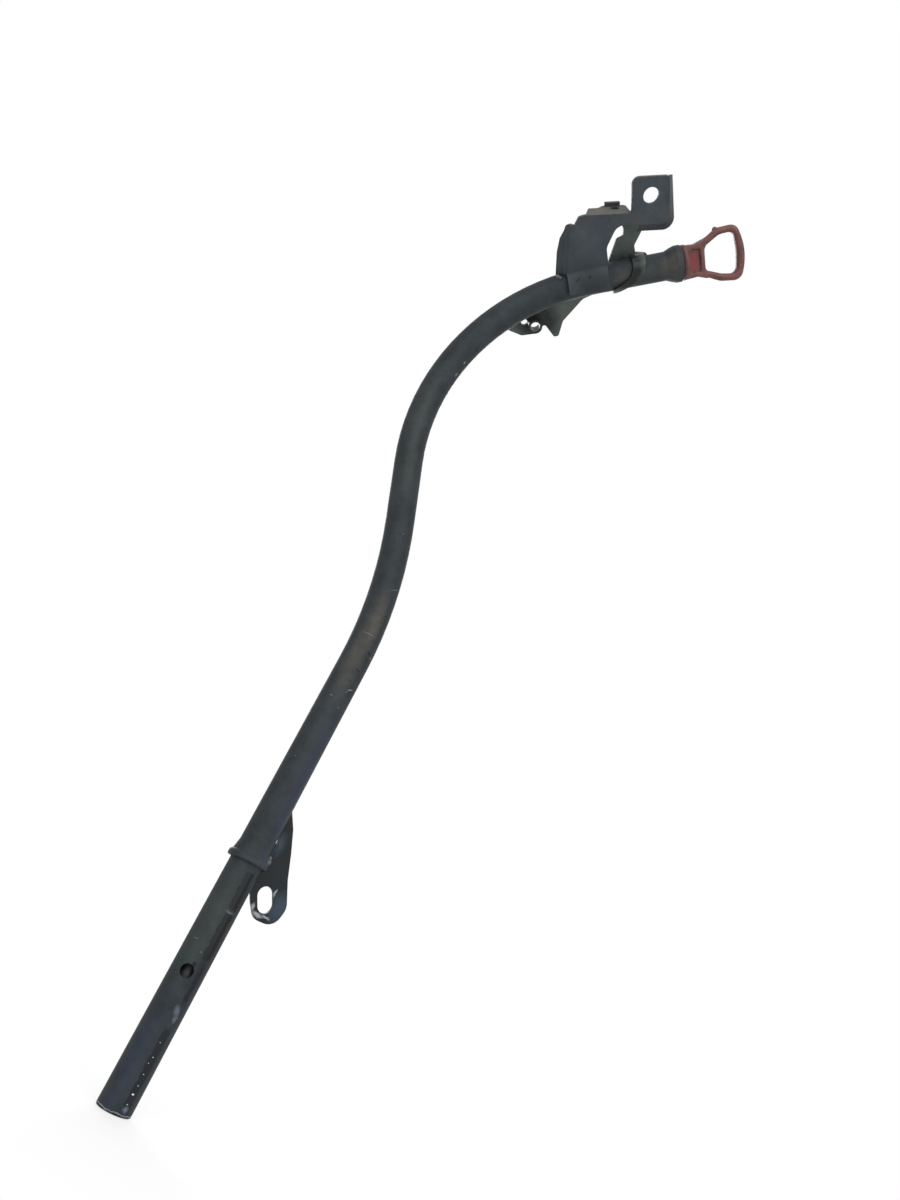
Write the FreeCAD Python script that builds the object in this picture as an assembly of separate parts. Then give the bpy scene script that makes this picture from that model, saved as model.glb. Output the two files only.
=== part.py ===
import FreeCAD
import Part
import math
import os
from FreeCAD import Matrix, Placement, Vector

# Engine oil dipstick in its bent steel guide tube.
# Millimetres. The origin lies on the spigot's axis at the underside of the bead,
# where the tube seats on the engine block. +Z runs up along the spigot.
# The lower bend leans towards -X in the XZ plane. The upper bend is turned out of that plane.

# Guide tube
tubeDiameter = 16.0
tubeWall = 1.25
spigotLength = 110.2
lowerRun = 109.8
lowerBendRadius = 235.0
lowerBendAngle = 21.0
middleRun = 35.0
upperBendRadius = 125.0
upperBendAngle = 75.0
upperBendTwist = 40.0
upperRun = 48.0
beadDiameter = 20.2
beadHeight = 3.0
beadConeHeight = 5.5
bellDiameter = 20.4
bellLength = 9.5
bellRim = 3.5
mouthReach = 3.5
bellFlare = 3.2
bellSwell = 0.9
bellRound = 0.6
ventDiameter = 6.0
ventDrop = 51.2
ventTurn = 205.0
cutChamfer = 0.3

# Clearances
weldGap = 0.05
sealGap = 0.05
seatGap = 0.25
crimpGap = 0.04

# Upper stamped bracket, in a frame that is clocked about the upper run
bracketClock = 55.0
bracketSlope = 8.0
bracketSheet = 2.5
bracketFront = -5.5
saddleStart = -63.0
saddleEnd = -38.5
webFrontDepth = 13.0
webRearDepth = 16.5
webLip = 2.2
webHoleDiameter = 5.0
webHoleX = -36.5
webHoleY = 5.5
tabHoleDiameter = 8.6
tabHoleX = -19.3
tabHoleZ = 39.6
edgeFlange = 3.6
flangeSpread = 4.2
flangeTopSpread = 2.0
flangeDrop = 4.4

# Harness bracket behind the tube
harnessSheet = 2.0
hookSheet = 1.6
eyeDiameter = 8.4
eyeWall = 1.3
eyeLength = 5.5
eyeX = -83.4
eyeZ = -22.6
clipHoleDiameter = 3.8
clipHoleX = -89.4
clipHoleZ = -20.6

# Lower bracket beside the bead
lowerSheet = 2.0
lowerFront = 2.0
slotWidth = 8.0
slotLength = 12.4
slotTilt = 31.5
slotX = 18.4
slotZ = -10.6

# Pull handle
handleClock = 38.0
collarDiameter = 19.0
collarLength = 2.6
loopThickness = 5.2
loopLength = 40.5
loopHalfWidth = 15.0
loopBar = 3.2
loopEndBar = 4.9
loopChamfer = 1.1
handleNeck = 16.1
pocketDepth = 1.6
stemClearance = 0.4
stemLength = 27.0

# Seals, blade and measuring tip
sealThickness = 1.8
sealFirst = 12.0
sealPitch = 5.5
ferruleDiameter = 5.8
ferruleLength = 18.0
ferruleOut = 8.0
bladeDiameter = 2.6
bladeInFerrule = 15.0
tipDiameter = 8.4
tipTop = -44.7
tipLength = 50.0
tipSocket = 12.0
tipFlat = 5.0

tubeRadius = tubeDiameter / 2
boreRadius = tubeRadius - tubeWall
weldRadius = tubeRadius + weldGap
bellBore = bellDiameter / 2 - tubeWall


def framePlacement(origin, xAxis, yAxis, zAxis):
    grid = Matrix(
        xAxis.x, yAxis.x, zAxis.x, origin.x,
        xAxis.y, yAxis.y, zAxis.y, origin.y,
        xAxis.z, yAxis.z, zAxis.z, origin.z,
        0, 0, 0, 1,
    )
    return Placement(grid)


def placed(shape, frame):
    moved = shape.copy()
    moved.Placement = frame.multiply(moved.Placement)
    return moved


def straightRun(start, direction, length, radius):
    return Part.makeCylinder(radius, length, start, direction)


def bendRun(start, direction, toCentre, bendRadius, angle, radius):
    ring = Part.Wire([Part.makeCircle(radius, start, direction)])
    disc = Part.Face(ring)
    return disc.revolve(start + toCentre * bendRadius, direction.cross(toCentre), angle)


def bendEnd(start, direction, toCentre, bendRadius, angle):
    turn = math.radians(angle)
    centre = start + toCentre * bendRadius
    point = centre - toCentre * (bendRadius * math.cos(turn)) + direction * (bendRadius * math.sin(turn))
    heading = direction * math.cos(turn) + toCentre * math.sin(turn)
    inward = toCentre * math.cos(turn) - direction * math.sin(turn)
    return point, heading, inward


# Stations along the tube's centre line
spigotEnd = Vector(0, 0, -spigotLength)
firstBend = Vector(0, 0, lowerRun)
upwards = Vector(0, 0, 1)
leanSide = Vector(-1, 0, 0)
middleStart, middleWay, _ = bendEnd(firstBend, upwards, leanSide, lowerBendRadius, lowerBendAngle)
secondBend = middleStart + middleWay * middleRun
planeSide = Vector(1, 0, 0) - middleWay * middleWay.x
planeSide.normalize()
twist = math.radians(upperBendTwist)
upperSide = planeSide * math.cos(twist) - middleWay.cross(planeSide) * math.sin(twist)
upperStart, upperWay, upperInward = bendEnd(
    secondBend, middleWay, upperSide, upperBendRadius, upperBendAngle
)
mouth = upperStart + upperWay * upperRun
rim = mouth + upperWay * mouthReach


def clockedFrame(clock):
    outward = upperInward * -1
    sideways = upperWay.cross(outward)
    turn = math.radians(clock)
    zAxis = outward * math.cos(turn) + sideways * math.sin(turn)
    yAxis = outward * math.sin(turn) - sideways * math.cos(turn)
    return framePlacement(mouth, upperWay, yAxis, zAxis)


tubeFrame = clockedFrame(bracketClock)
handleFrame = clockedFrame(handleClock)
slopeTurn = Placement(Vector(0, 0, 0), FreeCAD.Rotation(Vector(0, 1, 0), bracketSlope))
bracketFrame = tubeFrame.multiply(slopeTurn)


def routeSolid(radius, low, high):
    # the whole centre line from a height on the spigot to a station on the upper run
    top = mouth + upperWay * high
    pieces = [
        straightRun(Vector(0, 0, low), upwards, lowerRun - low, radius),
        bendRun(firstBend, upwards, leanSide, lowerBendRadius, lowerBendAngle, radius),
        straightRun(middleStart, middleWay, middleRun, radius),
        bendRun(secondBend, middleWay, upperSide, upperBendRadius, upperBendAngle, radius),
        straightRun(upperStart, upperWay, (top - upperStart).Length, radius),
    ]
    return pieces[0].fuse(pieces[1:]).removeSplitter()


def revolved(profile, start, direction):
    # profile points are (distance along the axis, radius)
    points = [Vector(r, 0, s) for s, r in profile]
    points.append(points[0])
    body = Part.Face(Part.makePolygon(points)).revolve(Vector(0, 0, 0), Vector(0, 0, 1), 360)
    spin = FreeCAD.Rotation(Vector(0, 0, 1), direction)
    body.Placement = Placement(start, spin)
    return body


def roundedOutline(corners, y=0.0):
    # corners are (x, z, corner radius) in the local XZ plane, joined by tangent arcs
    count = len(corners)
    edges = []
    last = None
    first = None
    for k in range(count):
        x, z, radius = corners[k]
        here = Vector(x, y, z)
        before = Vector(corners[k - 1][0], y, corners[k - 1][1]) - here
        after = Vector(corners[(k + 1) % count][0], y, corners[(k + 1) % count][1]) - here
        before.normalize()
        after.normalize()
        if radius > 0:
            half = before.getAngle(after) / 2
            reach = radius / math.tan(half)
            middle = before + after
            middle.normalize()
            enter = here + before * reach
            leave = here + after * reach
            crest = here + middle * (radius / math.sin(half) - radius)
            arc = Part.Arc(enter, crest, leave).toShape()
        else:
            enter = here
            leave = here
            arc = None
        if last is not None and (enter - last).Length > 1e-6:
            edges.append(Part.LineSegment(last, enter).toShape())
        if first is None:
            first = enter
        if arc:
            edges.append(arc)
        last = leave
    if (first - last).Length > 1e-6:
        edges.append(Part.LineSegment(last, first).toShape())
    return Part.Wire(edges)


def sheet(corners, front, thickness):
    # a flat sheet parallel to the local XZ plane, from its front face backwards
    face = Part.Face(roundedOutline(corners, front))
    return face.extrude(Vector(0, thickness, 0))


def drilled(body, x, z, diameter, front, thickness):
    drill = Part.makeCylinder(diameter / 2, thickness + 2, Vector(x, front - 1, z), Vector(0, 1, 0))
    return body.cut(drill)


def weldRidge(x, y, low, high, radius):
    # a weld's rounded ridge, standing along Z
    profile = [
        (0, 0), (0, radius * 0.5), (radius * 0.6, radius), (high - low - radius * 0.6, radius),
        (high - low, radius * 0.5), (high - low, 0),
    ]
    return revolved(profile, Vector(x, y, low), upwards)


def guideTube():
    inBell = mouthReach - bellLength / 2
    outer = routeSolid(tubeRadius, -spigotLength, inBell)
    beadRadius = beadDiameter / 2
    neck = beadHeight + 0.4
    bead = revolved(
        [
            (0, boreRadius + 0.3), (0, beadRadius - 0.4), (0.4, beadRadius),
            (beadHeight - 0.8, beadRadius), (beadHeight, beadRadius - 0.5), (neck, tubeRadius + 1.0),
            (neck + beadConeHeight, tubeRadius), (neck + beadConeHeight, boreRadius + 0.3),
        ],
        Vector(0, 0, 0), upwards,
    )
    bellRadius = bellDiameter / 2
    bell = revolved(
        [
            (-bellLength, 0), (-bellLength, tubeRadius), (-bellLength + bellFlare, bellRadius - bellSwell),
            (-bellRim, bellRadius), (-bellRound, bellRadius), (0, bellRadius - bellRound), (0, 0),
        ],
        rim, upperWay,
    )
    solid = outer.fuse([bead, bell])
    bore = routeSolid(boreRadius, -spigotLength - 1, inBell)
    flare = revolved(
        [
            (-bellLength, 0), (-bellLength, boreRadius), (-bellLength + bellFlare, bellBore - bellSwell),
            (-bellRim, bellBore), (1, bellBore), (1, 0),
        ],
        rim, upperWay,
    )
    solid = solid.cut(bore.fuse(flare))
    turn = math.radians(ventTurn)
    ventWay = Vector(math.sin(turn), math.cos(turn), 0)
    vent = Part.makeCylinder(ventDiameter / 2, tubeRadius + 2, Vector(0, 0, -ventDrop), ventWay)
    solid = solid.cut(vent)
    chamfer = revolved(
        [
            (0, tubeRadius - cutChamfer), (0, tubeRadius + 1), (cutChamfer, tubeRadius + 1),
            (cutChamfer, tubeRadius),
        ],
        spigotEnd, upwards,
    )
    return solid.cut(chamfer)


def tubeClearance():
    # what welded brackets are cut back by, so that they seat on the tube and its bead
    body = routeSolid(weldRadius, 0, 2)
    bead = revolved(
        [
            (-weldGap, 0), (-weldGap, beadDiameter / 2 + weldGap),
            (beadHeight + weldGap, beadDiameter / 2 + weldGap),
            (beadHeight + 0.5, tubeRadius + 1.0 + weldGap),
            (beadHeight + 0.4 + beadConeHeight + weldGap, weldRadius),
            (beadHeight + 0.4 + beadConeHeight + weldGap, 0),
        ],
        Vector(0, 0, 0), upwards,
    )
    return body.fuse(bead)


def bracketFace():
    # front sheet: leg, strip and bolt tab in one flat outline
    return sheet(
        [
            (-62.2, -0.6, 0), (-62.2, 25.4, 2.0), (-60.3, 25.9, 0), (-58.2, 30.2, 2.0),
            (-55.0, 31.0, 0), (-29.0, 31.0, 1.5), (-30.6, 49.3, 4.0), (-10.8, 49.3, 1.0),
            (-7.4, 24.6, 4.0), (-36.5, 24.8, 6.0), (-41.6, 13.0, 6.0), (-39.4, 2.4, 0),
        ],
        bracketFront, bracketSheet,
    )


def bracketFlange():
    # stiffening flange bent back from the leg's left edge
    outline = [
        (0, -1.0, 0), (9.4, -6.0, 0), (9.2, 10.0, 5.0), (7.6, 18.0, 4.0), (5.0, 22.5, 3.0),
        (3.6, 26.4, 2.0), (0, 26.0, 0),
    ]
    flange = sheet([(-x, z, r) for x, z, r in outline], 0, bracketSheet)
    flange.Placement = Placement(
        Vector(-62.2, bracketFront, 0), FreeCAD.Rotation(Vector(0, 0, 1), -45)
    )
    roll = Part.makeCylinder(
        bracketSheet, 26.0, Vector(-62.2, bracketFront + bracketSheet, -0.5), Vector(0, 0, 1)
    )
    return flange.fuse(roll)


def bracketWeb():
    # web bent back from the leg's top edge, deeper on the right, with its clip hole and a raised rear lip
    under = 31.0 - bracketSheet
    front = bracketFront + 1.0
    step = bracketFront + webFrontDepth
    rear = bracketFront + webRearDepth
    outline = [
        (-54.5, front, 0), (-51.0, step, 1.5), (-45.5, step, 1.5), (-42.5, rear, 1.5),
        (-29.5, rear, 2.0), (-29.0, front, 0),
    ]
    web = sheet([(x, -y, r) for x, y, r in outline], 0, bracketSheet)
    web.Placement = Placement(Vector(0, 0, under), FreeCAD.Rotation(Vector(1, 0, 0), 90))
    lip = Part.makeBox(8.5, bracketSheet, bracketSheet + webLip, Vector(-41.5, rear - bracketSheet, under))
    hole = Part.makeCylinder(webHoleDiameter / 2, 6, Vector(webHoleX, webHoleY, under - 1), Vector(0, 0, 1))
    return web.fuse(lip).cut(hole)


def tabFlange():
    # edge flange bent back round the tab's right side and the strip's underside, opening downwards
    top = 49.3

    def skirt(inset):
        right = -7.4 - inset
        low = 24.6 + inset
        front = [(-31, low, 0), (-31, top + 4, 0), (right - 3.3, top + 4, 0), (right, low, 4.0)]
        back = [
            (-31, low - flangeDrop, 0), (-31, top + 4, 0), (right - 3.3 + flangeTopSpread, top + 4, 0),
            (right + flangeSpread, low - flangeDrop, 6.0),
        ]
        wires = [roundedOutline(front, bracketFront), roundedOutline(back, bracketFront + edgeFlange)]
        return Part.makeLoft(wires, True, True)

    shell = skirt(0).cut(skirt(1.9))
    region = sheet(
        [(-24.5, 15, 0), (-24.5, 28, 0), (-20, 28, 0), (-20, top - 0.4, 0), (0, top - 0.4, 0), (0, 15, 0)],
        bracketFront - 1, edgeFlange + 3,
    )
    return shell.common(region)


def saddle():
    # the leg's foot, formed round the front of the tube
    around = routeSolid(tubeRadius + bracketSheet, lowerRun - 5, 0)
    zone = Part.Face(roundedOutline(
        [
            (saddleStart, -2.0, 1.5), (saddleStart, 10.0, 0), (saddleEnd - 1.0, 9.4, 0),
            (saddleEnd - 1.4, 4.0, 4.0), (saddleEnd, -4.4, 1.5),
        ],
        -20,
    )).extrude(Vector(0, 18.5, 0))
    return around.common(placed(zone, tubeFrame))


def upperBracket(clearance):
    face = bracketFace()
    body = face.fuse([bracketFlange(), bracketWeb(), tabFlange()])
    body = drilled(body, tabHoleX, tabHoleZ, tabHoleDiameter, bracketFront, bracketSheet)
    body = placed(body, bracketFrame)
    return body.fuse(saddle()).cut(clearance).removeSplitter()


def harnessBracket(clearance):
    front = weldRadius
    plate = sheet(
        [
            (-28.4, 27.5, 1.0), (-16.8, 27.5, 1.0), (-16.8, 19.5, 2.0), (-21.2, 12.5, 2.0), (-20.8, 8.2, 0),
            (-14.0, 6.5, 2.0), (-11.4, -10.9, 0.8), (-14.6, -10.9, 0.8), (-16.0, -4.2, 1.0),
            (-53.0, -13.2, 5.0), (-66.0, -24.4, 3.0),
            (-69.6, -33.2, 1.0), (-72.4, -33.2, 1.0), (-77.6, -23.6, 1.5), (-81.4, -29.2, 2.5),
            (-92.0, -28.6, 4.0), (-100.6, -23.0, 2.0), (-96.0, -16.0, 3.0), (-60.0, -5.0, 5.0),
            (-37.5, 3.0, 2.0), (-35.4, 8.0, 2.0), (-31.0, 17.8, 2.0), (-27.2, 18.8, 1.0), (-26.8, 22.4, 1.0),
        ],
        front, harnessSheet,
    )
    plate = drilled(plate, clipHoleX, clipHoleZ, clipHoleDiameter, front, harnessSheet)
    backwards = Vector(0, 1, 0)
    eye = Part.makeCylinder(
        eyeDiameter / 2, eyeLength + 1, Vector(eyeX, front - eyeLength, eyeZ), backwards
    )
    pin = Part.makeCylinder(
        eyeDiameter / 2 - eyeWall, eyeLength + 6, Vector(eyeX, front - eyeLength - 1, eyeZ), backwards
    )
    ring = Part.makeCylinder(weldRadius + hookSheet, 30, Vector(-40, 0, 0), Vector(1, 0, 0))
    leaf = Part.Face(roundedOutline(
        [
            (-37.2, -5.6, 0.6), (-27.6, 0.6, 5.0), (-25.2, 6.0, 6.0), (-25.2, 14.0, 0), (-17.4, 14.0, 0),
            (-17.8, 7.0, 6.0), (-19.8, 1.2, 6.0), (-28.2, -5.0, 8.0), (-36.6, -9.4, 0.6),
        ],
        -12,
    )).extrude(Vector(0, 12, 0))
    back = Part.makeBox(7.8, 10, 14, Vector(-25.2, 0, 0))
    hook = ring.common(leaf.fuse(back))
    body = placed(plate.fuse([eye, hook]).cut(pin), tubeFrame)
    return body.cut(clearance).removeSplitter()


def lowerBracket(clearance):
    plate = sheet(
        [
            (4.0, 0, 0), (4.0, 32.3, 0), (8.6, 31.7, 1.0), (14.3, 23.5, 6.0), (19.2, 13.3, 20.0),
            (24.0, 1.9, 20.0), (30.4, -9.7, 7.0), (28.4, -19.7, 7.0), (17.4, -20.4, 6.0), (12.4, -14.4, 3.0),
            (8.7, -8.8, 2.0), (8.7, 0, 0),
        ],
        lowerFront, lowerSheet,
    )
    half = (slotLength - slotWidth) / 2
    slot = Part.makeBox(slotWidth, 8, 2 * half, Vector(-slotWidth / 2, -2, -half))
    ends = [
        Part.makeCylinder(slotWidth / 2, 8, Vector(0, -2, side * half), Vector(0, 1, 0)) for side in (-1, 1)
    ]
    slot = slot.fuse(ends)
    slot.Placement = Placement(
        Vector(slotX, lowerFront, slotZ), FreeCAD.Rotation(Vector(0, 1, 0), -slotTilt)
    )
    slit = Part.makeBox(4.2, 8, 1.8, Vector(6.2, lowerFront - 3, 13.9))
    welds = [
        weldRidge(9.4, lowerFront - 0.4, 3.6, 13.5, 2.2),
        weldRidge(8.7, lowerFront - 0.2, 16.9, 29.7, 1.4),
    ]
    return plate.fuse(welds).cut(slot).cut(slit).cut(clearance).removeSplitter()


def pullHandle():
    rest = mouthReach + seatGap
    collarEnd = rest + collarLength
    stemRadius = boreRadius - stemClearance
    shoulder = bellBore - stemClearance
    into = seatGap + 0.05
    flareStart = mouthReach - bellLength + into
    profile = [(-stemLength, 0), (-stemLength, stemRadius - 0.8), (-stemLength + 0.8, stemRadius)]
    grooveRadius = boreRadius - sealGap - sealThickness - sealGap
    for k in (1, 0):
        middle = -(sealFirst + k * sealPitch)
        half = sealThickness / 2 + 0.2
        profile += [(middle - half, stemRadius), (middle - half, grooveRadius)]
        profile += [(middle + half, grooveRadius), (middle + half, stemRadius)]
    profile += [
        (flareStart, stemRadius), (flareStart + bellFlare, shoulder - bellSwell),
        (mouthReach - bellRim + into, shoulder), (rest, shoulder),
        (rest, collarDiameter / 2 - 0.4), (rest + 0.4, collarDiameter / 2),
        (collarEnd - 0.8, collarDiameter / 2), (collarEnd, collarDiameter / 2 - 0.8), (collarEnd, 0),
    ]
    stem = revolved(profile, Vector(0, 0, 0), Vector(1, 0, 0))
    neck = sheet(
        [
            (collarEnd - 1, 9.0, 0), (11.8, 8.5, 3.0), (handleNeck + 1, 10.4, 0),
            (handleNeck + 1, -10.4, 0), (11.8, -8.5, 3.0), (collarEnd - 1, -9.0, 0),
        ],
        -4.4, 8.8,
    )
    pockets = [
        sheet([(8.2, 6.6, 1.0), (14.0, 6.4, 1.0), (14.0, -6.4, 1.0), (8.2, -6.6, 1.0)], y, pocketDepth + 1)
        for y in (-4.4 - 1, 4.4 - pocketDepth)
    ]
    wide = loopHalfWidth
    loop = sheet(
        [
            (11.8, 8.5, 2.0), (19.0, 11.4, 8.0), (24.5, wide, 8.0), (35.6, wide + 0.4, 5.0),
            (loopLength + 0.2, 0, 33.0), (37.0, -wide, 5.0), (25.0, 1.6 - wide, 8.0),
            (19.0, -10.6, 8.0), (11.8, -8.5, 2.0),
        ],
        -loopThickness / 2, loopThickness,
    )
    inner = wide - loopBar
    window = sheet(
        [
            (handleNeck, 6.2, 2.5), (25.6, inner, 6.0), (34.2, inner + 0.4, 3.6),
            (loopLength - loopEndBar, 0, 40.0), (34.8, 0.2 - inner, 3.6), (26.0, 1.8 - inner, 6.0),
            (handleNeck, -6.2, 2.5),
        ],
        -10, 20,
    )
    loop = loop.cut(window)
    bend = [e for e in loop.Edges if abs(e.BoundBox.YLength) < 1e-6]
    loop = loop.makeChamfer(loopChamfer, bend)
    grip = neck.cut(pockets + [window])
    socket = Part.makeCylinder(
        ferruleDiameter / 2 + crimpGap, ferruleLength - ferruleOut,
        Vector(-stemLength, 0, 0), Vector(1, 0, 0),
    )
    body = stem.fuse([grip, loop]).cut(socket)
    return placed(body, handleFrame)


def sealRing(index):
    middle = -(sealFirst + index * sealPitch)
    half = sealThickness / 2
    outer = boreRadius - sealGap
    inner = outer - sealThickness
    profile = [
        (middle - half, outer - half), (middle - half / 2, outer), (middle + half / 2, outer),
        (middle + half, outer - half), (middle + half / 2, inner), (middle - half / 2, inner),
    ]
    return placed(revolved(profile, Vector(0, 0, 0), Vector(1, 0, 0)), handleFrame)


def bladeFerrule():
    radius = ferruleDiameter / 2
    low = -stemLength - ferruleOut
    high = low + ferruleLength
    profile = [(low, bladeDiameter / 2 + crimpGap), (low, radius - 0.4), (low + 0.4, radius)]
    crimp = low + 2.2
    waist = radius - 0.5
    profile += [(crimp, radius), (crimp + 0.8, waist), (crimp + 2.0, waist), (crimp + 2.8, radius)]
    top = low + bladeInFerrule + 0.5
    profile += [(high, radius), (high, 0), (top, 0), (top, bladeDiameter / 2 + crimpGap)]
    return placed(revolved(profile, Vector(0, 0, 0), Vector(1, 0, 0)), handleFrame)


def blade():
    high = -stemLength - ferruleOut + bladeInFerrule
    return routeSolid(bladeDiameter / 2, tipTop - tipSocket + 0.5, high)


def measuringTip():
    radius = tipDiameter / 2
    low = tipTop - tipLength
    body = revolved(
        [
            (0, 0), (0, radius - 2.2), (2.2, radius), (tipLength - 8, radius), (tipLength, radius - 1.8),
            (tipLength, 0),
        ],
        Vector(0, 0, low), upwards,
    )
    hole = Part.makeCylinder(bladeDiameter / 2 + crimpGap, tipSocket + 1, Vector(0, 0, tipTop - tipSocket))
    side = tipFlat / 2
    flats = [
        Part.makeBox(tipDiameter, radius, 26.0, Vector(-radius, y, low + 4.0)) for y in (side, -side - radius)
    ]
    marks = [
        Part.makeBox(tipDiameter, tipDiameter, 0.8, Vector(radius - 0.9, -radius, low + z))
        for z in (8.0, 24.0)
    ]
    return body.cut([hole] + flats + marks)


def save(name, shape):
    solids = shape.Solids
    if len(solids) == 1:
        shape = solids[0]
    shape.exportStep("parts/" + name + ".step")
    print(name, len(solids), "solid", round(shape.Volume, 1), "valid", shape.isValid())


os.makedirs("parts", exist_ok=True)
clearance = tubeClearance()
save("guide_tube", guideTube())
save("upper_bracket", upperBracket(clearance))
save("harness_bracket", harnessBracket(clearance))
save("lower_bracket", lowerBracket(clearance))
save("pull_handle", pullHandle())
save("outer_seal", sealRing(0))
save("inner_seal", sealRing(1))
save("blade_ferrule", bladeFerrule())
save("blade", blade())
save("measuring_tip", measuringTip())
print("mouth", mouth, "pull direction", upperWay)
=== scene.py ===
import math

import bpy
from mathutils import Matrix, Vector


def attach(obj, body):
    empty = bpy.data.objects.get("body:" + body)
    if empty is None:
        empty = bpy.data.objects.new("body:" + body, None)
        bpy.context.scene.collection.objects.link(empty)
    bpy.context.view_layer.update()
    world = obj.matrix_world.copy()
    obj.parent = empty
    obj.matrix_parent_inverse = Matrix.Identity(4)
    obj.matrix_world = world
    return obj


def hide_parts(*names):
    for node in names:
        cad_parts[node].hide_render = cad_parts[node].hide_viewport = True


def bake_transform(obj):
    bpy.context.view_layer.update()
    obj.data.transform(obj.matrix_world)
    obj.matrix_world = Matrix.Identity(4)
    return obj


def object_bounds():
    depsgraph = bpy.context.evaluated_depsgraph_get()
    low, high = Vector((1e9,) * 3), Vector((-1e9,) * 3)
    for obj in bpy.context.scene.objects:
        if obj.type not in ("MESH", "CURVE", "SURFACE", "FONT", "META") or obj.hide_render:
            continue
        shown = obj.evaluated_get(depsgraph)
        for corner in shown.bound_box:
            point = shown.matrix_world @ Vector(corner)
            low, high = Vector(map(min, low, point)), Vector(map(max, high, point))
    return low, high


# Engine oil dipstick in its bent steel guide tube, upright as it sits on its engine.
# Metres, +Z up along the spigot, and the origin on the spigot's axis under the bead.

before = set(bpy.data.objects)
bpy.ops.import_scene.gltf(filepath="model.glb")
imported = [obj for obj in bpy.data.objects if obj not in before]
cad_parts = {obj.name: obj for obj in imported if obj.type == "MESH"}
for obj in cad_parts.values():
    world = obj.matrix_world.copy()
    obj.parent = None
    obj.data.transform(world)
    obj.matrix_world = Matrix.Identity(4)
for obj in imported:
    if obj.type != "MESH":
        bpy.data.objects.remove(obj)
bpy.ops.object.select_all(action="DESELECT")
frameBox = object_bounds()
print("stage: frame loaded")

# The tube's centre line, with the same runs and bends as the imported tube
route = {
    "tubeRadius": 0.008,
    "lowerRun": 0.1098,
    "lowerRadius": 0.235,
    "lowerAngle": 21.0,
    "middleRun": 0.035,
    "upperRadius": 0.125,
    "upperAngle": 75.0,
    "upperTwist": 40.0,
    "upperRun": 0.048,
}


def bendEnd(start, way, side, radius, angle):
    # Centre of a bend, then the point, the way and the inward side at its end
    turn = math.radians(angle)
    centre = start + side * radius
    point = centre - side * (radius * math.cos(turn)) + way * (radius * math.sin(turn))
    endWay = way * math.cos(turn) + side * math.sin(turn)
    endSide = side * math.cos(turn) - way * math.sin(turn)
    return centre, point, endWay, endSide


upwards = Vector((0, 0, 1))
leanSide = Vector((-1, 0, 0))
firstBend = Vector((0, 0, route["lowerRun"]))
lowerCentre, middleStart, middleWay, _ = bendEnd(
    firstBend, upwards, leanSide, route["lowerRadius"], route["lowerAngle"]
)
secondBend = middleStart + middleWay * route["middleRun"]
planeSide = (Vector((1, 0, 0)) - middleWay * middleWay.x).normalized()
twist = math.radians(route["upperTwist"])
upperSide = planeSide * math.cos(twist) - middleWay.cross(planeSide) * math.sin(twist)
upperCentre, upperStart, pullWay, upperInward = bendEnd(
    secondBend, middleWay, upperSide, route["upperRadius"], route["upperAngle"]
)
mouth = upperStart + pullWay * route["upperRun"]


def tubeAt(along):
    # Centre, way and clock zero of the tube, at a distance along it from the bead
    clockZero = Vector((1, 0, 0))
    left = along - route["lowerRun"]
    if left <= 0:
        return upwards * along, upwards, clockZero
    turn = min(left / route["lowerRadius"], math.radians(route["lowerAngle"]))
    clockZero = Matrix.Rotation(turn, 3, upwards.cross(leanSide)) @ clockZero
    _, centre, way, _ = bendEnd(firstBend, upwards, leanSide, route["lowerRadius"], math.degrees(turn))
    left -= turn * route["lowerRadius"]
    straight = min(left, route["middleRun"])
    left -= straight
    turn = min(left / route["upperRadius"], math.radians(route["upperAngle"]))
    if turn <= 0:
        return centre + way * straight, way, clockZero
    clockZero = Matrix.Rotation(turn, 3, middleWay.cross(upperSide)) @ clockZero
    _, centre, way, _ = bendEnd(secondBend, middleWay, upperSide, route["upperRadius"], math.degrees(turn))
    return centre + way * (left - turn * route["upperRadius"]), way, clockZero


# Colours and nodes
def hexColour(code):
    parts = [int(code[k:k + 2], 16) / 255 for k in (1, 3, 5)]
    linear = [v / 12.92 if v <= 0.04045 else ((v + 0.055) / 1.055) ** 2.4 for v in parts]
    return (*linear, 1.0)


def addNode(material, kind, settings=None, links=None):
    # Sockets go by name, or by number where names repeat: on Mix, 0 is the share of the second,
    # 2 and 3 are the two plain values, 6 and 7 the two colours, and the mixed colour comes out at 2
    node = material.node_tree.nodes.new("ShaderNode" + kind)
    for name, value in (settings or {}).items():
        if isinstance(name, str) and hasattr(node, name):
            setattr(node, name, value)
        else:
            node.inputs[name].default_value = value
    for name, socket in (links or {}).items():
        material.node_tree.links.new(socket, node.inputs[name])
    return node


def newMaterial(name):
    material = bpy.data.materials.new(name)
    material.use_nodes = True
    material.node_tree.nodes.clear()
    return material


def paintNode(name, material):
    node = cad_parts[name]
    node.data.materials.clear()
    node.data.materials.append(material)


# Marks of use, and marks of painted light and shade: each is a soft patch with a place, a turn and half
# sizes
patchDepth = 0.004  # half depth of a patch laid on the tube's round face
halfInMetres = 2000  # a full width in millimetres over this is half of it in metres


def spot(centre, size, soft=0.7, strength=1.0, turn=(0, 0, 0), square=False):
    return {
        "centre": centre, "size": size, "turn": turn,
        "soft": soft, "strength": strength, "square": square,
    }


def onTube(along, clock, around, length, tilt=0.0, soft=0.7, strength=1.0, square=False):
    # Millimetres along the tube from the bead and degrees round it, with the patch's full width and length
    centre, way, clockZero = tubeAt(along / 1000)
    turn = math.radians(clock)
    outward = clockZero * math.cos(turn) + way.cross(clockZero) * math.sin(turn)
    axes = Matrix((way.cross(outward), way, outward)).transposed()
    axes = axes @ Matrix.Rotation(math.radians(tilt), 3, "Z")
    size = (around / halfInMetres, length / halfInMetres, patchDepth)
    return spot(centre + outward * route["tubeRadius"], size, soft, strength, axes.to_euler(), square)


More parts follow.
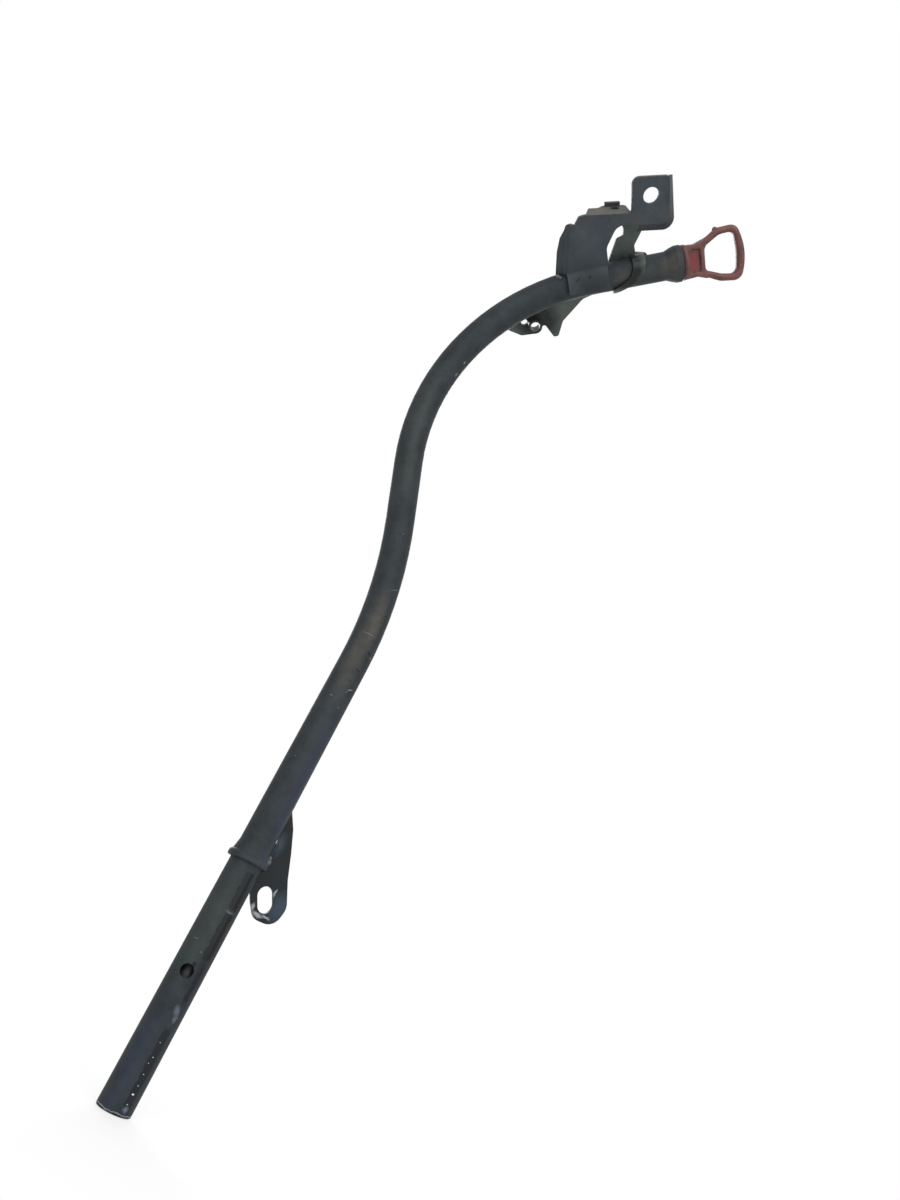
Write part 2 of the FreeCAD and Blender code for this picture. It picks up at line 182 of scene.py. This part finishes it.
def markLayer(colour, roughness, marks, ragged=True, patchy=False):
    # Ragged marks have a wandering edge, and patchy ones thin out between the coat's own stains
    return {"colour": colour, "roughness": roughness, "marks": marks, "ragged": ragged, "patchy": patchy}


def markMask(material, place, mark):
    if "facing" in mark:
        lean = addNode(
            material, "VectorMath", {"operation": "DOT_PRODUCT", 1: mark["facing"]},
            {0: addNode(material, "TexCoord").outputs["Normal"]},
        ).outputs["Value"]
        return addNode(
            material, "MapRange",
            {"From Min": mark["from"], "From Max": mark["to"], "To Max": mark["strength"]}, {"Value": lean},
        ).outputs["Result"]
    local = addNode(
        material, "Mapping",
        {
            "vector_type": "TEXTURE",
            "Location": mark["centre"], "Rotation": mark["turn"], "Scale": mark["size"],
        },
        {"Vector": place},
    ).outputs["Vector"]
    if mark["square"]:
        sides = addNode(material, "SeparateXYZ", None, {
            0: addNode(material, "VectorMath", {"operation": "ABSOLUTE"}, {0: local}).outputs["Vector"],
        }).outputs
        widest = addNode(
            material, "Math", {"operation": "MAXIMUM"}, {0: sides["X"], 1: sides["Y"]}
        ).outputs["Value"]
        reach = addNode(
            material, "Math", {"operation": "MAXIMUM"}, {0: widest, 1: sides["Z"]}
        ).outputs["Value"]
    else:
        reach = addNode(material, "VectorMath", {"operation": "LENGTH"}, {0: local}).outputs["Value"]
    return addNode(
        material, "MapRange", {"From Min": 1.0, "From Max": 1.0 - mark["soft"], "To Max": mark["strength"]},
        {"Value": reach},
    ).outputs["Result"]


# Black electrocoat on steel: dipped and baked, so it is even and satin, with a fine orange peel.
# The layers over it are stains, dust, wet oil, scratches and bare metal, from the first to the last, with
# painted light among them: a painted dark reflection on the oil, painted highlights and painted shade.
def electrocoatPaint(name, finish):
    material = newMaterial(name)
    place = addNode(material, "TexCoord").outputs["Object"]
    peel = addNode(
        material, "TexNoise", {"Scale": 1 / finish["peel"], "Detail": finish["peelDetail"]},
        {"Vector": place},
    ).outputs["Fac"]
    stain = addNode(
        material, "TexNoise",
        {
            "Scale": 1 / finish["stain"],
            "Detail": finish["stainDetail"], "Roughness": finish["stainRoughness"],
        },
        {"Vector": place},
    ).outputs["Fac"]
    drift = addNode(
        material, "TexNoise", {"Scale": 1 / finish["wander"], "Detail": finish["wanderDetail"]},
        {"Vector": place},
    ).outputs["Color"]
    wander = addNode(
        material, "VectorMath", {"operation": "SUBTRACT", 1: (0.5, 0.5, 0.5)}, {0: drift}
    ).outputs["Vector"]
    ragged = addNode(
        material, "VectorMath", {"operation": "MULTIPLY_ADD", 1: (finish["wander"],) * 3},
        {0: wander, 2: place},
    ).outputs["Vector"]
    cloudy = addNode(
        material, "MapRange", {"From Min": finish["cloudFrom"], "From Max": finish["cloudTo"]},
        {"Value": stain},
    ).outputs["Result"]
    colour = addNode(
        material, "Mix",
        {"data_type": "RGBA", 6: hexColour(finish["colour"]), 7: hexColour(finish["bloom"])}, {0: cloudy},
    ).outputs[2]
    smoothest = finish["roughness"] - finish["smoother"]
    roughest = finish["roughness"] + finish["rougher"]
    shine = addNode(
        material, "MapRange", {"To Min": smoothest, "To Max": roughest}, {"Value": cloudy}
    ).outputs["Result"]
    for layer in finish["layers"]:
        mask = None
        for mark in layer["marks"]:
            found = markMask(material, ragged if layer["ragged"] else place, mark)
            if mask:
                found = addNode(
                    material, "Math", {"operation": "MAXIMUM"}, {0: mask, 1: found}
                ).outputs["Value"]
            mask = found
        if layer["patchy"]:
            patchy = addNode(
                material, "MapRange",
                {
                    "From Min": finish["patchFrom"], "From Max": finish["patchTo"],
                    "To Min": finish["patchLeast"],
                },
                {"Value": stain},
            ).outputs["Result"]
            mask = addNode(
                material, "Math", {"operation": "MULTIPLY"}, {0: mask, 1: patchy}
            ).outputs["Value"]
        colour = addNode(
            material, "Mix", {"data_type": "RGBA", 7: hexColour(layer["colour"])}, {0: mask, 6: colour}
        ).outputs[2]
        shine = addNode(material, "Mix", {3: layer["roughness"]}, {0: mask, 2: shine}).outputs[0]
    rounded = addNode(
        material, "Bevel", {"samples": finish["edgeSamples"], "Radius": finish["edge"]}
    ).outputs["Normal"]
    bump = addNode(
        material, "Bump", {"Strength": finish["peelBump"], "Distance": finish["peelDepth"]},
        {"Height": peel, "Normal": rounded},
    ).outputs["Normal"]
    shader = addNode(
        material, "BsdfPrincipled", {"IOR": finish["gloss"]},
        {"Base Color": colour, "Roughness": shine, "Normal": bump},
    )
    addNode(material, "OutputMaterial", None, {"Surface": shader.outputs["BSDF"]})
    return material


# Metres for the peel's grain, the stains, the wander of a mark's edge and the rounding of corners
coat = {
    "peel": 0.0009, "peelDetail": 3.0, "peelBump": 0.45, "peelDepth": 0.00007,
    "stain": 0.014, "stainDetail": 12.0, "stainRoughness": 0.74,
    "wander": 0.0024, "wanderDetail": 4.0,
    "edge": 0.0004, "edgeSamples": 6,
    "cloudFrom": 0.38, "cloudTo": 0.68,
    "patchFrom": 0.3, "patchTo": 0.6, "patchLeast": 0.35,
    "smoother": 0.06, "rougher": 0.1,
    "gloss": 1.26,  # lower than a clean coat's, matched to the dull look of the worn one
}

# Millimetres from the bead, + towards the mouth, and degrees from +X: -111 faces the front
tubeFinish = coat | {
    "colour": "#1f2427", "bloom": "#30363a", "roughness": 0.58,
    "layers": [
        # Aged coat, bluish and then greenish
        markLayer("#2b323f", 0.46, [
            onTube(-88, -135, 15, 60, strength=0.8),
            onTube(40, -62, 14, 110, strength=0.9),
        ], patchy=True),
        markLayer("#323936", 0.4, [
            onTube(-28, -128, 16, 66, strength=0.8),
            onTube(250, -120, 16, 120, strength=0.5),
        ], patchy=True),
        # Road dust baked on, thickest on the middle of the tube
        markLayer("#4c4841", 0.72, [
            onTube(133, -102, 10, 44, strength=0.9),
            onTube(118, -116, 15, 80, strength=0.6),
            onTube(228, -110, 9, 40, strength=0.2),
            onTube(415, -80, 12, 46, strength=0.4),
            onTube(440, -90, 22, 20, strength=0.7),
        ], patchy=True),
        # Painted light: the bead made a patchy grey all round, standing in for the light on its face
        markLayer("#3c4346", 0.5, [spot((0, 0, 0.002), (0.012, 0.012, 0.0035), soft=0.5)], patchy=True),
        # Painted reflection on wet oil: a near-black, glossy band down one side of the spigot, dark as the
        # reflection of a dark surround, carried on lower in a bluer black, with a small mark of painted
        # shade at the vent hole
        markLayer("#0c1013", 0.16, [
            onTube(-12.6, -77, 4.9, 18.4, soft=0.12, strength=0.9, square=True),
            onTube(-34, -76, 4.9, 22.5, soft=0.12, strength=0.9, square=True),
        ]),
        markLayer("#131a21", 0.18, [
            onTube(-55, -72, 3.4, 20, soft=0.3, square=True),
            onTube(-91, -77, 4.2, 37, soft=0.15, strength=0.85, square=True),
            # Painted shade beside the vent hole
            onTube(-48, -103, 2.4, 3, soft=0.3),
        ]),
        # Pale patches where the painted dark band breaks, and one just above the vent hole
        markLayer("#66707b", 0.5, [
            onTube(-67, -80, 3.6, 6.5, tilt=20, strength=0.5),
            onTube(-70, -74, 3, 5, strength=0.5),
            onTube(-107, -78, 3.6, 3.6, strength=0.8),
            onTube(-22.6, -80, 6.5, 1.0, strength=0.5),
            onTube(-42, -104, 1.4, 1.2, strength=0.6),
        ]),
        # Dark chips, then scratches and scuffs through the coat
        markLayer("#0e1214", 0.6, [
            onTube(117, -75, 3.4, 2.0),
            onTube(113, -70, 2.4, 1.6, strength=0.8),
            onTube(106, -82, 3, 1.6, strength=0.7),
            onTube(139, -70, 2.6, 1.4, strength=0.7),
            onTube(99, -96, 2.4, 1.0, strength=0.6),
            onTube(311, -60, 3, 1.2, strength=0.6),
        ]),
        markLayer("#959ca0", 0.4, [
            onTube(126, -107, 12, 0.35, strength=0.35),
            onTube(154.5, -70, 9, 0.35, tilt=25, strength=0.4),
            onTube(145, -38, 3, 0.5, strength=0.6),
            onTube(95, -72, 4.4, 0.7, tilt=28, strength=0.6),
            onTube(88, -128, 2.2, 0.5, strength=0.5),
            onTube(93, -82, 2.4, 0.4, tilt=60, strength=0.45),
            onTube(84, -81, 1.4, 0.4, strength=0.6),
            onTube(115.4, -54, 2.4, 0.6, strength=0.7),
            onTube(186, -96, 1, 0.4, strength=0.5),
            onTube(53, -139, 1, 0.4, strength=0.5),
            onTube(-38, -140, 3, 0.4, strength=0.3),
            onTube(300, -62, 1.6, 2.6, strength=0.4),
            onTube(291, -57, 2, 3.4, strength=0.4),
        ], ragged=False),
        # Painted highlights: small bright glints low on the oily spigot
        markLayer("#dfe3e4", 0.25, [
            onTube(along, clock, around, length, strength=strength)
            for along, clock, around, length, strength in (
                (-80, -81, 0.7, 0.5, 0.5), (-86, -79, 0.9, 0.5, 0.6), (-88.6, -83, 0.6, 0.5, 0.5),
                (-93, -80, 0.8, 0.5, 0.6), (-97.5, -78, 0.7, 0.5, 0.7), (-101, -80, 1.5, 0.9, 1.0),
                (-105, -81, 0.9, 0.5, 0.7),
            )
        ], ragged=False),
        # The spigot's sawn end: a dark face, and a bright rim just above it
        markLayer("#0d1012", 0.5, [
            spot((0, 0, -0.1102), (0.02, 0.02, 0.0009), soft=0.2, strength=0.8, square=True),
        ], ragged=False),
        markLayer("#8a8e8e", 0.38, [
            spot((0, 0, -0.1093), (0.02, 0.02, 0.0003), soft=0.6, strength=0.7, square=True),
        ]),
    ],
}
paintNode("guide_tube", electrocoatPaint("electrocoatTube", tubeFinish))

upperFinish = coat | {
    "colour": "#2f353a", "bloom": "#3b4246", "roughness": 0.46,
    "layers": [
        # Painted shade: a darker saddle where the bracket wraps the tube
        markLayer("#23282b", 0.5, [
            spot((-0.0080, -0.0660, 0.3575), (0.018, 0.018, 0.011), soft=0.6, strength=0.9),
        ], patchy=True),
        # Dust on the web's upper face, found by the way that it faces
        markLayer("#5c5850", 0.8, [
            {"facing": (-0.705, -0.613, 0.356), "from": 0.9, "to": 0.97, "strength": 0.9},
        ], patchy=True),
        # Brown grime along two edges of the tab
        markLayer("#403e3a", 0.7, [
            spot((-0.0004, -0.1056, 0.3935), (0.003, 0.004, 0.010)),
            spot((-0.010, -0.0946, 0.3824), (0.010, 0.004, 0.003)),
        ], patchy=True),
        # Painted shade: two small dark marks at the saddle's notches
        markLayer("#0a0d0f", 0.5, [
            spot((-0.0140, -0.0619, 0.3541), (0.0006, 0.0016, 0.0022)),
            spot((-0.0101, -0.0662, 0.3580), (0.0010, 0.0012, 0.0012)),
        ], ragged=False),
    ],
}
paintNode("upper_bracket", electrocoatPaint("electrocoatUpper", upperFinish))

# A greyer and greener coat, with painted shade, near black and glossy, on the strap round the tube and on
# the lower lugs
harnessFinish = coat | {
    "colour": "#474f4b", "bloom": "#555c57", "roughness": 0.48,
    "layers": [
        markLayer("#0d1012", 0.22, [
            spot((0.003, -0.076, 0.371), (0.014, 0.014, 0.016), soft=0.4, strength=0.9),
            spot((-0.009, -0.026, 0.345), (0.020, 0.016, 0.014), soft=0.4, strength=0.8),
        ]),
    ],
}
paintNode("harness_bracket", electrocoatPaint("electrocoatHarness", harnessFinish))

lowerFinish = coat | {
    "colour": "#0e1214", "bloom": "#1a2024", "roughness": 0.42,
    "layers": [
        # Bluish patches, then bare metal where a bolt's head has rubbed round the slot
        markLayer("#2b3642", 0.36, [
            spot((0.027, 0.002, -0.011), (0.007, 0.006, 0.010)),
            spot((0.011, 0.002, 0.014), (0.004, 0.006, 0.008)),
        ]),
        markLayer("#868b8d", 0.36, [
            spot((0.0178, 0.002, -0.0180), (0.0042, 0.004, 0.0014)),
            spot((0.0142, 0.002, -0.0160), (0.0013, 0.004, 0.0030)),
            spot((0.0212, 0.002, -0.0060), (0.0008, 0.004, 0.0026)),
            spot((0.0226, 0.002, -0.0175), (0.003, 0.004, 0.0009)),
        ]),
    ],
}
paintNode("lower_bracket", electrocoatPaint("electrocoatLower", lowerFinish))
print("stage: painted steel")

# Glass-filled nylon, injection moulded, faded and greasy: a dull brownish red, redder in the pocket
handle = {
    "colour": "#613e3a", "shade": "#432d2b", "roughness": 0.5, "gloss": 1.33,
    "stain": 0.005, "stainDetail": 5.0, "grimeFrom": 0.42, "grimeTo": 0.72,
    "grain": 0.0005, "grainDetail": 2.0, "grainBump": 0.25, "grainDepth": 0.00005,
    "pocket": "#713234", "pocketCentre": (0.0291, -0.0979, 0.3926), "pocketHalf": (0.0034, 0.006, 0.0064),
    "pocketSoft": 0.35, "pocketStrength": 0.9,
    "depthWay": (0.1458, 0.7061, 0.6930),  # through the flat of the loop
    "neck": "#422b29", "neckReach": 0.0042, "neckSoft": 0.0022, "neckStrength": 0.85,
    "nub": (0.0268, -0.1083, 0.4098), "nubRadius": 0.0013, "nubSides": 16, "nubRings": 8,
    "mergeGap": 0.000002, "voxel": 0.0003, "softening": 14, "swell": 0.0003,
}
nylon = newMaterial("mouldedNylon")
place = addNode(nylon, "TexCoord").outputs["Object"]
stain = addNode(
    nylon, "TexNoise", {"Scale": 1 / handle["stain"], "Detail": handle["stainDetail"]}, {"Vector": place}
).outputs["Fac"]
grain = addNode(
    nylon, "TexNoise", {"Scale": 1 / handle["grain"], "Detail": handle["grainDetail"]}, {"Vector": place}
).outputs["Fac"]
grimy = addNode(
    nylon, "MapRange", {"From Min": handle["grimeFrom"], "From Max": handle["grimeTo"]}, {"Value": stain}
).outputs["Result"]
colour = addNode(
    nylon, "Mix",
    {"data_type": "RGBA", 6: hexColour(handle["colour"]), 7: hexColour(handle["shade"])}, {0: grimy},
).outputs[2]
handleDepth = Vector(handle["depthWay"])
handleAxes = Matrix((pullWay, handleDepth, pullWay.cross(handleDepth))).transposed()
pocketMask = markMask(nylon, place, spot(
    handle["pocketCentre"], handle["pocketHalf"], handle["pocketSoft"], handle["pocketStrength"],
    handleAxes.to_euler(),
))
colour = addNode(
    nylon, "Mix", {"data_type": "RGBA", 7: hexColour(handle["pocket"])}, {0: pocketMask, 6: colour}
).outputs[2]
# The grimy neck next to the tube's mouth
alongPull = addNode(
    nylon, "VectorMath", {"operation": "DOT_PRODUCT", 1: pullWay}, {0: place}
).outputs["Value"]
neckEnd = mouth.dot(pullWay) + handle["neckReach"]
neckMask = addNode(
    nylon, "MapRange",
    {"From Min": neckEnd + handle["neckSoft"], "From Max": neckEnd, "To Max": handle["neckStrength"]},
    {"Value": alongPull},
).outputs["Result"]
colour = addNode(
    nylon, "Mix", {"data_type": "RGBA", 7: hexColour(handle["neck"])}, {0: neckMask, 6: colour}
).outputs[2]
bump = addNode(
    nylon, "Bump", {"Strength": handle["grainBump"], "Distance": handle["grainDepth"]}, {"Height": grain}
).outputs["Normal"]
shader = addNode(
    nylon, "BsdfPrincipled", {"IOR": handle["gloss"], "Roughness": handle["roughness"]},
    {"Base Color": colour, "Normal": bump},
)
addNode(nylon, "OutputMaterial", None, {"Surface": shader.outputs["BSDF"]})


def meltShape(piece, voxel, rounds):
    # Fuses what the piece is made of into one skin, and rounds its edges
    remesh = piece.modifiers.new("remesh", "REMESH")
    remesh.mode = "VOXEL"
    remesh.voxel_size = voxel
    soften = piece.modifiers.new("soften", "SMOOTH")
    soften.iterations = rounds
    for modifier in ("remesh", "soften"):
        bpy.ops.object.modifier_apply(modifier=modifier)


# The moulded handle with its soft edges, and the gate's nub left on the upper bar
bpy.ops.mesh.primitive_uv_sphere_add(
    segments=handle["nubSides"], ring_count=handle["nubRings"], radius=handle["nubRadius"],
    location=handle["nub"],
)
handlePiece = bpy.data.objects.new("finger_pull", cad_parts["pull_handle"].data.copy())
bpy.context.scene.collection.objects.link(handlePiece)
handlePiece.select_set(True)
bpy.context.view_layer.objects.active = handlePiece
bpy.ops.object.join()
bpy.ops.object.mode_set(mode="EDIT")
bpy.ops.mesh.select_all(action="SELECT")
bpy.ops.mesh.remove_doubles(threshold=handle["mergeGap"])
bpy.ops.object.mode_set(mode="OBJECT")
meltShape(handlePiece, handle["voxel"], handle["softening"])
swell = handlePiece.modifiers.new("swell", "DISPLACE")  # gives back what the rounding took off the bars
swell.strength = handle["swell"]
swell.mid_level = 0.0
bpy.ops.object.modifier_apply(modifier="swell")
bpy.ops.object.shade_smooth()
handlePiece.data.materials.clear()
handlePiece.data.materials.append(nylon)
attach(handlePiece, "dipstick")
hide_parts("pull_handle")
bpy.ops.object.select_all(action="DESELECT")
print("stage: handle", len(handlePiece.data.polygons))

# Materials of one colour each, with a fine grain in their shine
plain = {
    # Moulded rubber, black and dull under a film of oil
    "nitrileRubber": {"colour": "#141516", "roughness": 0.55, "metallic": 0.0, "grain": 0.0005},
    # Crimped steel sleeve plated with zinc, a cool soft shine
    "zincPlatedFerrule": {"colour": "#8d9194", "roughness": 0.35, "metallic": 1.0, "grain": 0.0006},
    # Drawn steel cable, oily and darker than the ferrule
    "springSteelCable": {"colour": "#7b7f82", "roughness": 0.32, "metallic": 1.0, "grain": 0.0009},
    # Moulded acetal, coloured nearly black as painted shade, since it shows only in the dark behind the
    # spigot's small hole
    "acetalTip": {"colour": "#17191c", "roughness": 0.6, "metallic": 0.0, "grain": 0.0008},
    # Weld metal under the coat, rough and grey
    "weldSteel": {"colour": "#474c4e", "roughness": 0.5, "metallic": 0.0, "grain": 0.0006},
}
plainGrain = {
    "detail": 4.0, "from": 0.3, "to": 0.7, "smoother": 0.1, "rougher": 0.12, "bump": 0.2, "depth": 0.00005,
}


def plainMaterial(name):
    finish = plain[name]
    material = newMaterial(name)
    place = addNode(material, "TexCoord").outputs["Object"]
    grain = addNode(
        material, "TexNoise", {"Scale": 1 / finish["grain"], "Detail": plainGrain["detail"]},
        {"Vector": place},
    ).outputs["Fac"]
    smoothest = finish["roughness"] - plainGrain["smoother"]
    roughest = finish["roughness"] + plainGrain["rougher"]
    shine = addNode(
        material, "MapRange",
        {
            "From Min": plainGrain["from"], "From Max": plainGrain["to"],
            "To Min": smoothest, "To Max": roughest,
        },
        {"Value": grain},
    ).outputs["Result"]
    bump = addNode(
        material, "Bump", {"Strength": plainGrain["bump"], "Distance": plainGrain["depth"]},
        {"Height": grain},
    ).outputs["Normal"]
    shader = addNode(
        material, "BsdfPrincipled",
        {"Base Color": hexColour(finish["colour"]), "Metallic": finish["metallic"]},
        {"Roughness": shine, "Normal": bump},
    )
    addNode(material, "OutputMaterial", None, {"Surface": shader.outputs["BSDF"]})
    return material


rubber = plainMaterial("nitrileRubber")
for sealName in ("outer_seal", "inner_seal"):
    paintNode(sealName, rubber)
paintNode("blade_ferrule", plainMaterial("zincPlatedFerrule"))
paintNode("measuring_tip", plainMaterial("acetalTip"))

# Lumps of weld: five where the lower plate meets the tube above its bead, and two at the saddle's end
weld = {
    "lumps": [
        ((0.0078, -0.0030, 0.0040), 0.0014),
        ((0.0090, -0.0016, 0.0046), 0.0016),
        ((0.0098, 0.0004, 0.0040), 0.0015),
        ((0.0092, -0.0006, 0.0064), 0.0013),
        ((0.0096, 0.0008, 0.0086), 0.0012),
        ((-0.0222, -0.0526, 0.3545), 0.0013),
        ((-0.0210, -0.0540, 0.3538), 0.0010),
    ],
    "sides": 16, "rings": 10, "voxel": 0.0003, "softening": 2,
}
lumps = []
for centre, radius in weld["lumps"]:
    bpy.ops.mesh.primitive_uv_sphere_add(
        segments=weld["sides"], ring_count=weld["rings"], radius=radius, location=centre
    )
    lumps.append(bpy.context.object)
for lump in lumps:
    lump.select_set(True)
bpy.ops.object.join()
weldPiece = bpy.context.object
weldPiece.name = "weld_beads"
bpy.ops.object.transform_apply(location=True, rotation=True, scale=True)
meltShape(weldPiece, weld["voxel"], weld["softening"])
bpy.ops.object.shade_smooth()
weldPiece.data.materials.append(plainMaterial("weldSteel"))
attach(weldPiece, "tube")
bpy.ops.object.select_all(action="DESELECT")
print("stage: seals, ferrule, tip and welds")

# The flexible blade, which runs inside the tube from near the mouth down into the spigot, with many close
# rings between payOutStart and payOutEnd. The tip isn't in it.
cable = {
    "radius": 0.0013,
    "sides": 16,
    "high": -0.020,  # these three are places along the pull, from the mouth
    "payOutEnd": -0.036,
    "payOutStart": -0.047,
    "low": -0.0562,  # this one is a height, from the bead's underside
    "payOutRings": 60,
    "upperBendSteps": 40,
    "middleSteps": 4,
    "lowerBendSteps": 20,
    "spigotSteps": 8,
    "mergeGap": 0.00001,
    "sharpest": 40.0,  # degrees, smooth up to here
}


def pushOut(step, count):
    for _ in range(count):
        bpy.ops.mesh.extrude_region_move(TRANSFORM_OT_translate={"value": step})


bpy.ops.mesh.primitive_circle_add(
    vertices=cable["sides"], radius=cable["radius"], fill_type="NGON",
    location=mouth + pullWay * cable["high"], rotation=pullWay.to_track_quat("Z", "Y").to_euler(),
)
bladePiece = bpy.context.object
bladePiece.name = "flexible_blade"
bpy.ops.object.transform_apply(location=True, rotation=True, scale=True)
bpy.ops.object.mode_set(mode="EDIT")
bpy.ops.mesh.select_all(action="SELECT")
pushOut(pullWay * (cable["payOutEnd"] - cable["high"]), 1)
payOut = cable["payOutStart"] - cable["payOutEnd"]
pushOut(pullWay * (payOut / cable["payOutRings"]), cable["payOutRings"])
pushOut(upperStart - mouth - pullWay * cable["payOutStart"], 1)
bpy.ops.mesh.spin(
    steps=cable["upperBendSteps"], angle=math.radians(route["upperAngle"]), center=upperCentre,
    axis=pullWay.cross(upperInward),
)
pushOut(-middleWay * (route["middleRun"] / cable["middleSteps"]), cable["middleSteps"])
bpy.ops.mesh.spin(
    steps=cable["lowerBendSteps"], angle=math.radians(route["lowerAngle"]), center=lowerCentre,
    axis=upwards.cross(leanSide),
)
spigotStep = (cable["low"] - route["lowerRun"]) / cable["spigotSteps"]
pushOut(Vector((0, 0, spigotStep)), cable["spigotSteps"])
bpy.ops.mesh.select_all(action="SELECT")
bpy.ops.mesh.remove_doubles(threshold=cable["mergeGap"])
bpy.ops.mesh.normals_make_consistent(inside=False)
bpy.ops.object.mode_set(mode="OBJECT")
bpy.ops.object.shade_smooth_by_angle(angle=math.radians(cable["sharpest"]))
bladePiece.data.materials.append(plainMaterial("springSteelCable"))
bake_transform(bladePiece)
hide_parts("blade")
print("stage: blade")

# The camera stands where the photograph was taken from
look = {
    "position": (-0.158209, -0.407296, -0.028794),
    "way": (0.388164, 0.825212, 0.410310),
    "roll": 26.63,
    "lens": 26.21,
    "sensor": 36.0,
    "nearest": 0.01,
}
cameraData = bpy.data.cameras.new("camera")
cameraData.lens = look["lens"]
cameraData.sensor_width = look["sensor"]
cameraData.clip_start = look["nearest"]
camera = bpy.data.objects.new("camera", cameraData)
bpy.context.scene.collection.objects.link(camera)
camera.location = look["position"]
levelView = Vector(look["way"]).to_track_quat("-Z", "Y").to_matrix()
camera.rotation_euler = (levelView @ Matrix.Rotation(math.radians(look["roll"]), 3, "Z")).to_euler()
bpy.context.scene.camera = camera

# Large soft lamps, all aimed at the middle of the tube
lamps = {
    "key": {"place": (-0.45, -1.15, 0.75), "size": 1.6, "power": 18.0},
    "fill": {"place": (0.5, -1.1, -0.1), "size": 1.2, "power": 5.0},
    "back": {"place": (0.3, 1.1, 0.8), "size": 1.3, "power": 17.0},
}
lampTarget = Vector((0.01, -0.05, 0.15))
for name, lamp in lamps.items():
    lampData = bpy.data.lights.new(name, "AREA")
    lampData.shape = "DISK"
    lampData.size = lamp["size"]
    lampData.energy = lamp["power"]
    lampObject = bpy.data.objects.new(name, lampData)
    lampObject.location = lamp["place"]
    aim = lampTarget - Vector(lamp["place"])
    lampObject.rotation_euler = aim.to_track_quat("-Z", "Y").to_euler()
    bpy.context.scene.collection.objects.link(lampObject)

# Matte paper under the part. The camera and gloss see it as white, but close to the part a share of
# its own shading shows through, so that the shadow stays.
surround = {
    "size": 6.0, "drop": 0.0003, "paper": "#f2f2f2", "white": "#ffffff",
    "shadowShare": 0.3, "shadowFrom": 0.1, "shadowReach": 0.45, "lit": 0.42,
}
bpy.ops.mesh.primitive_plane_add(
    size=surround["size"], location=(0, 0, frameBox[0].z - surround["drop"])
)
floor = bpy.context.object
floor.name = "floor"
paper = newMaterial("matteWhitePaper")
paperRay = addNode(paper, "LightPath").outputs
paperSeen = addNode(
    paper, "Math", {"operation": "MAXIMUM"}, {0: paperRay["Is Camera Ray"], 1: paperRay["Is Glossy Ray"]}
).outputs["Value"]
distance = addNode(
    paper, "VectorMath", {"operation": "LENGTH"}, {0: addNode(paper, "TexCoord").outputs["Object"]}
).outputs["Value"]
whiteShare = addNode(
    paper, "MapRange",
    {
        "From Min": surround["shadowFrom"], "From Max": surround["shadowReach"],
        "To Min": 1 - surround["shadowShare"], "To Max": 1.0,
    },
    {"Value": distance},
).outputs["Result"]
share = addNode(paper, "Math", {"operation": "MULTIPLY"}, {0: paperSeen, 1: whiteShare}).outputs["Value"]
matte = addNode(paper, "BsdfDiffuse", {"Color": hexColour(surround["paper"])}).outputs["BSDF"]
white = addNode(
    paper, "Emission", {"Color": hexColour(surround["white"]), "Strength": 1.0}
).outputs["Emission"]
paperMix = addNode(paper, "MixShader", None, {0: share, 1: matte, 2: white})
addNode(paper, "OutputMaterial", None, {"Surface": paperMix.outputs["Shader"]})
floor.data.materials.append(paper)

# The world is white to the camera, glass and gloss, and lights the part at a lower level
world = bpy.data.worlds.new("surround")
bpy.context.scene.world = world
world.use_nodes = True
world.node_tree.nodes.clear()
skyRay = addNode(world, "LightPath").outputs
skySeen = addNode(
    world, "Math", {"operation": "MAXIMUM"}, {0: skyRay["Is Camera Ray"], 1: skyRay["Is Transmission Ray"]}
).outputs["Value"]
skySeen = addNode(
    world, "Math", {"operation": "MAXIMUM"}, {0: skySeen, 1: skyRay["Is Glossy Ray"]}
).outputs["Value"]
skyLevel = addNode(
    world, "MapRange", {"To Min": surround["lit"], "To Max": 1.0}, {"Value": skySeen}
).outputs["Result"]
sky = addNode(world, "Background", {"Color": hexColour(surround["white"])}, {"Strength": skyLevel})
addNode(world, "OutputWorld", None, {"Surface": sky.outputs["Background"]})
bpy.context.scene.view_settings.view_transform = "Standard"
print("stage: camera, lamps and surround")
